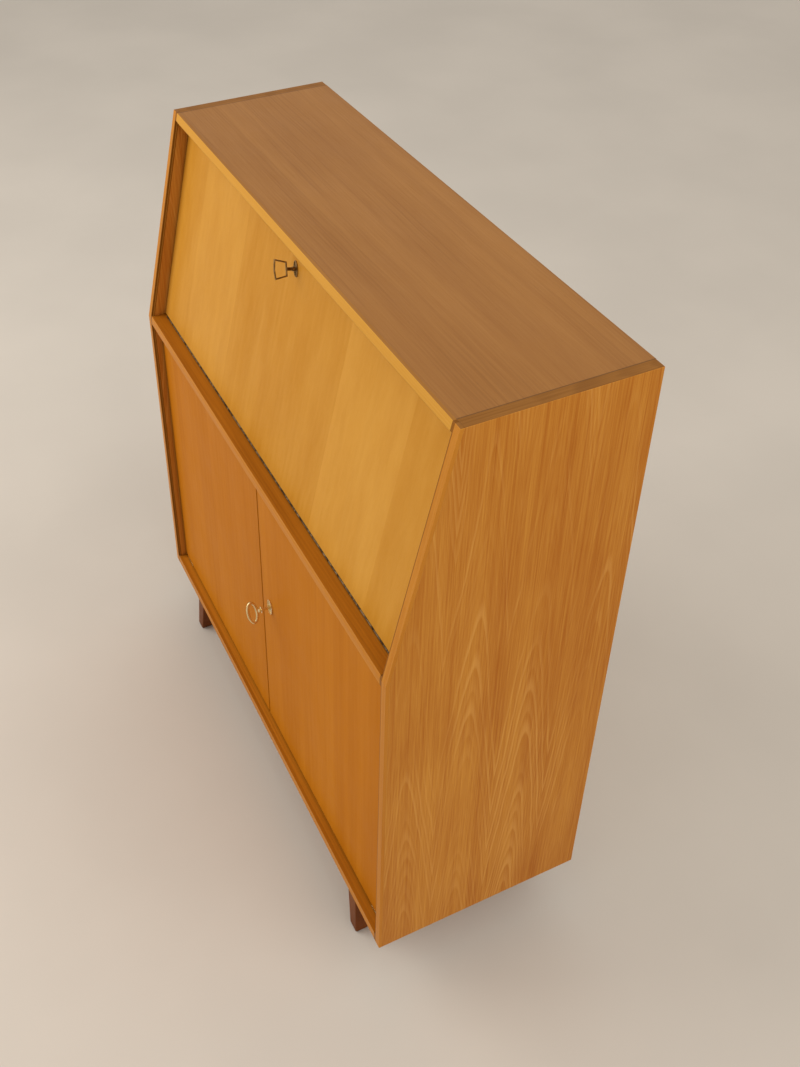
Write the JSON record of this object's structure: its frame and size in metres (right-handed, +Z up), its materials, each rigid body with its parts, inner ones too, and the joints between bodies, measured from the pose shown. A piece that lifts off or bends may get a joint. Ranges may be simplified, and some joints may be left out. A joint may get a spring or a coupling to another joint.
{
  "type": "secretary desk",
  "caption": "Fall-front writing desk: veneered carcass with sloped upper front, hinged writing flap on stays, recessed double doors below, splayed tapered legs.",
  "frame": {"origin": "on the floor, in the middle of the desk's box in X and Y, the door key's bow included", "axes": "+X to the desk's right as seen from the front, +Y to its back, +Z up"},
  "size_m": [0.94, 0.3759, 1.09],
  "materials": {
    "honey_veneer": "satin",
    "side_veneer": "satin",
    "top_veneer": "satin",
    "lipping_wood": "satin",
    "inner_veneer": "satin",
    "plywood": "satin",
    "leg_wood": "satin",
    "dowel_wood": "satin",
    "brass": "polished",
    "aged_brass": "aged",
    "steel": "brushed",
    "black_plastic": "matte"
  },
  "bodies": {
    "carcass": {"back_panel": "plywood", "bottom_lipping": "lipping_wood", "bottom_panel": "top_veneer", "cabinet_shelf": "inner_veneer", "cabinet_shelf_pins": "steel", "carcass_door_pivots": "brass", "carcass_dowels": "dowel_wood", "carcass_screws": "steel", "flap_stop_strip": "inner_veneer", "flap_strike_plate": "brass", "inner_floor": "inner_veneer", "leg_back_left": "leg_wood", "leg_back_right": "leg_wood", "leg_front_left": "leg_wood", "leg_front_right": "leg_wood", "leg_glides": "black_plastic", "leg_plates": "steel", "piano_hinge_pin": "steel", "piano_hinge_shelf_leaf": "steel", "pigeonhole_dividers": "inner_veneer", "pigeonhole_end_left": "inner_veneer", "pigeonhole_end_right": "inner_veneer", "pigeonhole_shelf": "inner_veneer", "pigeonhole_top": "inner_veneer", "shelf_lipping": "lipping_wood", "side_lipping_left": "lipping_wood", "side_lipping_right": "lipping_wood", "side_panel_left": "side_veneer", "side_panel_right": "side_veneer", "stay_studs": "brass", "top_lipping": "lipping_wood", "top_panel": "top_veneer", "writing_shelf": "top_veneer"},
    "flap": {"flap_panel": "honey_veneer", "piano_hinge_flap_leaf": "steel", "flap_screws": "steel", "stay_brackets": "brass", "flap_lock_case": "steel", "flap_escutcheon": "aged_brass"},
    "flap_bolt": {"flap_lock_bolt": "steel"},
    "flap_key": {"flap_key": "aged_brass"},
    "door_right": {"door_right": "honey_veneer", "door_right_pivot_plates": "brass", "door_lock_case": "steel", "door_escutcheon": "brass"},
    "door_bolt": {"door_lock_bolt": "steel"},
    "door_key": {"door_key": "brass"},
    "door_left": {"door_left": "honey_veneer", "door_left_pivot_plates": "brass", "door_strike_plate": "brass", "left_door_bolt_guide": "brass"},
    "left_bolt": {"left_door_bolt": "brass"},
    "stay_rod_right": {"stay_rod_right": "brass"},
    "stay_guide_right": {"stay_guide_right": "brass"},
    "small_drawer_right": {"small_drawer_right": "inner_veneer", "small_drawer_knob_right": "brass"},
    "stay_rod_left": {"stay_rod_left": "brass"},
    "stay_guide_left": {"stay_guide_left": "brass"},
    "small_drawer_left": {"small_drawer_left": "inner_veneer", "small_drawer_knob_left": "brass"}
  },
  "joints": [
    {"name": "flap_hinge", "type": "hinge", "parent": "carcass", "child": "flap", "pos_m": [0, -0.13605, 0.7206], "axis": [1, 0, 0], "range_deg": [0, 102.27]},
    {"name": "stay_rod_right_turn", "type": "hinge", "parent": "flap", "child": "stay_rod_right", "pos_m": [0.44, -0.08072, 0.86207], "axis": [1, 0, 0], "range_deg": [-51.64, 0.5]},
    {"name": "stay_guide_right_turn", "type": "hinge", "parent": "carcass", "child": "stay_guide_right", "pos_m": [0.44, -0.0601, 0.85216], "axis": [1, 0, 0], "range_deg": [-0.5, 51.64]},
    {"name": "stay_rod_left_turn", "type": "hinge", "parent": "flap", "child": "stay_rod_left", "pos_m": [-0.44, -0.08072, 0.86207], "axis": [1, 0, 0], "range_deg": [-51.64, 0.5]},
    {"name": "stay_guide_left_turn", "type": "hinge", "parent": "carcass", "child": "stay_guide_left", "pos_m": [-0.44, -0.0601, 0.85216], "axis": [1, 0, 0], "range_deg": [-0.5, 51.64]},
    {"name": "flap_key_turn", "type": "hinge", "parent": "flap", "child": "flap_key", "pos_m": [0, -0.06772, 1.03475], "axis": [0, 0.9772, -0.2125], "range_deg": [0, 329]},
    {"name": "flap_bolt_slide", "type": "slide", "parent": "flap", "child": "flap_bolt", "axis": [0, 0.2125, 0.9772], "range_m": [0, 0.012]},
    {"name": "door_right_hinge", "type": "hinge", "parent": "carcass", "child": "door_right", "pos_m": [0.443, -0.14155, 0.1265], "axis": [0, 0, 1], "range_deg": [0, 100]},
    {"name": "door_left_hinge", "type": "hinge", "parent": "carcass", "child": "door_left", "pos_m": [-0.443, -0.14155, 0.1265], "axis": [0, 0, -1], "range_deg": [0, 100]},
    {"name": "door_key_turn", "type": "hinge", "parent": "door_right", "child": "door_key", "pos_m": [0.034, -0.14605, 0.433], "axis": [0, 1, 0], "range_deg": [0, 329]},
    {"name": "door_bolt_slide", "type": "slide", "parent": "door_right", "child": "door_bolt", "axis": [-1, 0, 0], "range_m": [0, 0.009]},
    {"name": "left_bolt_slide", "type": "slide", "parent": "door_left", "child": "left_bolt", "axis": [0, 0, 1], "range_m": [0, 0.0105]},
    {"name": "small_drawer_right_slide", "type": "slide", "parent": "carcass", "child": "small_drawer_right", "axis": [0, -1, 0], "range_m": [0, 0.12]},
    {"name": "small_drawer_left_slide", "type": "slide", "parent": "carcass", "child": "small_drawer_left", "axis": [0, -1, 0], "range_m": [0, 0.12]}
  ],
  "couplings": [
    {"joint": "stay_rod_right_turn", "follows": "flap_hinge", "ratio": -0.5},
    {"joint": "stay_guide_right_turn", "follows": "flap_hinge", "ratio": 0.5},
    {"joint": "stay_rod_left_turn", "follows": "flap_hinge", "ratio": -0.5},
    {"joint": "stay_guide_left_turn", "follows": "flap_hinge", "ratio": 0.5},
    {"joint": "flap_key_turn", "follows": "flap_bolt_slide", "rad_per_m": 478.51},
    {"joint": "door_key_turn", "follows": "door_bolt_slide", "rad_per_m": 638.01}
  ]
}
